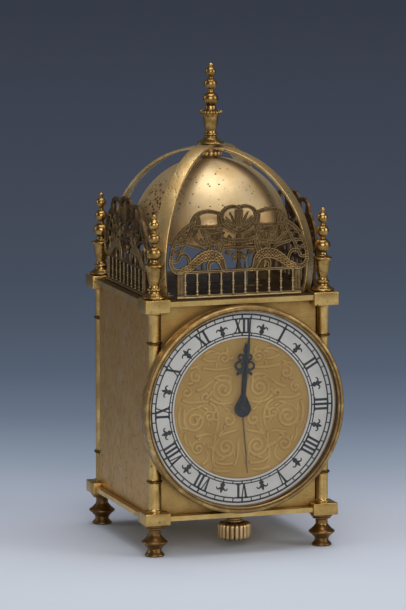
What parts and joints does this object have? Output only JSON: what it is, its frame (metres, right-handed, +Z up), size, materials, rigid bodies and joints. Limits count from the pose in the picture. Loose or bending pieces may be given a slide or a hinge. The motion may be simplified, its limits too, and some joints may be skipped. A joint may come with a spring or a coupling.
{
  "type": "desk alarm clock",
  "caption": "Small four-pillar lantern alarm clock: round dial with Roman numerals, pierced frets, bell under crossed straps, turned finials and feet, crown under the case.",
  "frame": {"origin": "middle of the footprint, on the surface that the feet stand on", "axes": "+Z up, the dial faces -Y, +X is to the right of someone who reads the dial"},
  "size_m": [0.0784, 0.082, 0.18],
  "materials": {
    "polished_brass": "polished",
    "plate_brass": "polished, lightly aged",
    "foot_bronze": "dark, aged",
    "strap_brass": "satin",
    "antique_brass": "antique, dark in the recesses",
    "bell_brass": "satin, pitted",
    "panel_brass": "satin, aged",
    "bezel_brass": "polished, aged",
    "clear_glass": "clear",
    "dial_gilt": "matt gilt, embossed",
    "chapter_white": "silvered white with black print",
    "hand_black": "black",
    "crown_brass": "matt",
    "steel": "bright",
    "movement_brass": "polished"
  },
  "bodies": {
    "case": {"base_plate": "plate_brass", "top_plate": "plate_brass", "corner_blocks": "polished_brass", "pillar_front_left": "polished_brass", "pillar_front_right": "polished_brass", "pillar_back_left": "polished_brass", "pillar_back_right": "polished_brass", "foot_front_left": "foot_bronze", "foot_front_right": "foot_bronze", "foot_back_left": "foot_bronze", "foot_back_right": "foot_bronze", "finial_front_left": "polished_brass", "finial_front_right": "polished_brass", "finial_back_left": "polished_brass", "finial_back_right": "polished_brass", "top_finial": "polished_brass", "strap_over": "strap_brass", "strap_under": "strap_brass", "cage_nut": "antique_brass", "bell": "bell_brass", "bell_stud": "steel", "fret_front": "antique_brass", "fret_left": "antique_brass", "fret_right": "antique_brass", "front_panel": "panel_brass", "left_panel": "panel_brass", "right_panel": "panel_brass", "back_panel": "panel_brass", "case_screws": "steel", "bezel": "bezel_brass", "dial_glass": "clear_glass", "dial_plate": "dial_gilt", "chapter_ring": "chapter_white", "movement_front_plate": "movement_brass", "movement_back_plate": "movement_brass", "movement_posts": "steel", "mainsprings": "steel", "crown_bush": "crown_brass"},
    "minute_work": {"minute_hand": "hand_black", "cannon_pinion": "movement_brass"},
    "minute_wheel": {"minute_wheel": "movement_brass"},
    "hour_work": {"hour_hand": "hand_black", "hour_wheel": "movement_brass"},
    "alarm_work": {"alarm_hand": "hand_black", "alarm_wheel": "movement_brass"},
    "alarm_knob": {"alarm_knob": "crown_brass"},
    "fourth_wheel": {"fourth_wheel": "movement_brass"},
    "third_wheel": {"third_wheel": "movement_brass"},
    "centre_wheel": {"centre_wheel": "movement_brass"},
    "going_barrel": {"going_barrel": "movement_brass"},
    "escape_wheel": {"escape_wheel": "movement_brass"},
    "pallet_lever": {"pallet_lever": "steel"},
    "balance_wheel": {"balance_wheel": "movement_brass"},
    "hammer_wheel": {"hammer_wheel": "movement_brass"},
    "alarm_barrel": {"alarm_barrel": "movement_brass"},
    "hammer": {"hammer": "steel"},
    "setting_yoke": {"setting_yoke": "steel"},
    "crown": {"crown": "crown_brass", "crown_stem": "steel"},
    "stop_button": {"stop_button": "crown_brass"}
  },
  "joints": [
    {"name": "minute_turn", "type": "hinge", "parent": "case", "child": "minute_work", "pos_m": [0, 0, 0.0545], "axis": [0, 1, 0], "continuous": true},
    {"name": "minute_wheel_turn", "type": "hinge", "parent": "case", "child": "minute_wheel", "pos_m": [-0.0096, 0, 0.0545], "axis": [0, 1, 0], "continuous": true},
    {"name": "hour_turn", "type": "hinge", "parent": "case", "child": "hour_work", "pos_m": [0, 0, 0.0545], "axis": [0, 1, 0], "continuous": true},
    {"name": "alarm_knob_turn", "type": "hinge", "parent": "case", "child": "alarm_knob", "pos_m": [0.01182, 0, 0.05242], "axis": [0, 1, 0], "continuous": true},
    {"name": "alarm_hand_turn", "type": "hinge", "parent": "case", "child": "alarm_work", "pos_m": [0, 0, 0.0545], "axis": [0, 1, 0], "continuous": true},
    {"name": "fourth_wheel_turn", "type": "hinge", "parent": "case", "child": "fourth_wheel", "pos_m": [-0.00137, 0, 0.06954], "axis": [0, 1, 0], "continuous": true},
    {"name": "third_wheel_turn", "type": "hinge", "parent": "case", "child": "third_wheel", "pos_m": [0.0054, 0, 0.06385], "axis": [0, 1, 0], "continuous": true},
    {"name": "centre_wheel_turn", "type": "hinge", "parent": "case", "child": "centre_wheel", "pos_m": [0, 0, 0.0545], "axis": [0, 1, 0], "continuous": true},
    {"name": "going_barrel_turn", "type": "hinge", "parent": "case", "child": "going_barrel", "pos_m": [-0.0095, 0, 0.045], "axis": [0, 1, 0], "continuous": true},
    {"name": "escape_wheel_turn", "type": "hinge", "parent": "case", "child": "escape_wheel", "pos_m": [-0.00747, 0, 0.07306], "axis": [0, 1, 0], "continuous": true},
    {"name": "pallet_rock", "type": "hinge", "parent": "case", "child": "pallet_lever", "pos_m": [-0.01367, 0, 0.07306], "axis": [0, 1, 0], "range_deg": [-3, 3]},
    {"name": "balance_swing", "type": "hinge", "parent": "case", "child": "balance_wheel", "pos_m": [-0.01777, 0, 0.06595], "axis": [0, 1, 0], "range_deg": [-150, 150], "stiffness_Nm_per_rad": 0.00001},
    {"name": "hammer_wheel_turn", "type": "hinge", "parent": "case", "child": "hammer_wheel", "pos_m": [0.02075, 0, 0.04654], "axis": [0, 1, 0], "continuous": true},
    {"name": "alarm_barrel_turn", "type": "hinge", "parent": "case", "child": "alarm_barrel", "pos_m": [0.014, 0, 0.0385], "axis": [0, 1, 0], "continuous": true},
    {"name": "hammer_strike", "type": "hinge", "parent": "case", "child": "hammer", "pos_m": [0.01, 0, 0.0783], "axis": [0, 1, 0], "range_deg": [-8, 3.4], "stiffness_Nm_per_rad": 0.02},
    {"name": "crown_pull", "type": "slide", "parent": "case", "child": "setting_yoke", "axis": [0, 0, -1], "range_m": [0, 0.0025]},
    {"name": "crown_turn", "type": "hinge", "parent": "setting_yoke", "child": "crown", "pos_m": [0, -0.028, 0.0068], "axis": [0, 0, 1], "continuous": true},
    {"name": "stop_button_press", "type": "slide", "parent": "case", "child": "stop_button", "axis": [0, -1, 0], "range_m": [0, 0.0025], "stiffness_N_per_m": 200}
  ],
  "couplings": [
    {"joint": "minute_wheel_turn", "follows": "minute_turn", "ratio": -0.33333},
    {"joint": "hour_turn", "follows": "minute_turn", "ratio": 0.083333},
    {"joint": "alarm_hand_turn", "follows": "alarm_knob_turn", "ratio": -0.25},
    {"joint": "third_wheel_turn", "follows": "fourth_wheel_turn", "ratio": -0.13333},
    {"joint": "centre_wheel_turn", "follows": "fourth_wheel_turn", "ratio": 0.016667},
    {"joint": "going_barrel_turn", "follows": "fourth_wheel_turn", "ratio": -0.0027778},
    {"joint": "escape_wheel_turn", "follows": "fourth_wheel_turn", "ratio": -7},
    {"joint": "alarm_barrel_turn", "follows": "hammer_wheel_turn", "ratio": -0.16667}
  ]
}
